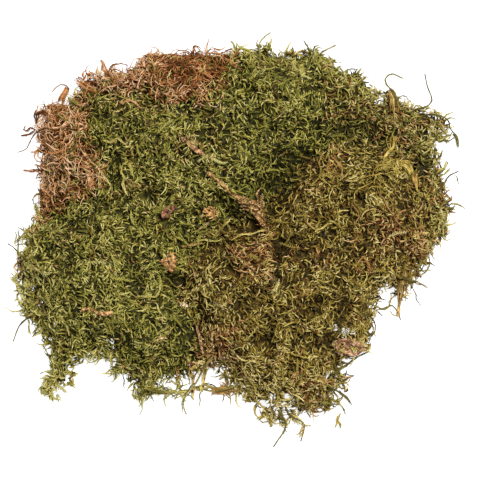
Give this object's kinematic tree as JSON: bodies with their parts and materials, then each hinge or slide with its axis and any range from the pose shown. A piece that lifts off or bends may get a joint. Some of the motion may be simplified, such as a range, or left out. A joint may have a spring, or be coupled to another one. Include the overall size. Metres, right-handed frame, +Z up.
{
  "type": "moss clump",
  "caption": "Clump of gathered, dry green and brown moss: tangled mats with loose stems at the edges and bits of bark and leaf caught on top.",
  "frame": {"origin": "under the middle of the clump's outline, on the surface that it lies on", "axes": "+Z up; +X to the right and +Y to the top of the picture, which looks straight down"},
  "size_m": [0.2494, 0.2285, 0.0377],
  "materials": {
    "green_moss": "dry leafy moss shoots, matt, yellow green tips over dark gaps",
    "olive_moss": "dry wiry moss shoots, matt, olive with straw coloured strands",
    "shaded_moss": "dry moss in the shade of the mat above, matt, dark green",
    "dead_moss": "dead moss, matt, orange brown curled shoots",
    "stray_stem": "single leafy moss stems, matt, green to brown",
    "bark": "weathered bark, matt, orange brown",
    "woody_stem": "dead woody stem, matt, grained",
    "dry_leaf": "dry leaf scrap, papery, brown to pink"
  },
  "bodies": {
    "root": {"green_mat": "green_moss", "olive_mat": "olive_moss", "under_mat": "shaded_moss", "brown_tuft_top": "dead_moss", "brown_tuft_left": "dead_moss", "bark_flake": "bark", "bark_strip": "bark", "pale_chip": "bark", "dead_stem": "woody_stem", "pale_twig": "woody_stem", "splinter_low": "woody_stem", "splinter_small": "woody_stem", "purple_leaf_scrap": "dry_leaf", "straw_leaf_scrap": "dry_leaf", "pink_leaf": "dry_leaf", "stray_north": "stray_stem", "stray_north_east": "stray_stem", "stray_north_west": "stray_stem", "stray_hook_upper": "stray_stem", "stray_wire_upper": "stray_stem", "stray_loop_right": "stray_stem", "stray_fork_right": "stray_stem", "stray_right_low": "stray_stem", "stray_right_hook": "stray_stem", "stray_right_down": "stray_stem", "stray_sprig_right": "stray_stem", "stray_low_right": "stray_stem", "stray_low_curl": "stray_stem", "stray_low_fork": "stray_stem", "stray_low_tip": "stray_stem", "stray_bottom_strand": "stray_stem", "stray_bottom_arch": "stray_stem", "stray_left_low": "stray_stem", "stray_left": "stray_stem", "stray_left_upper": "stray_stem", "stray_left_loop": "stray_stem"}
  },
  "joints": []
}
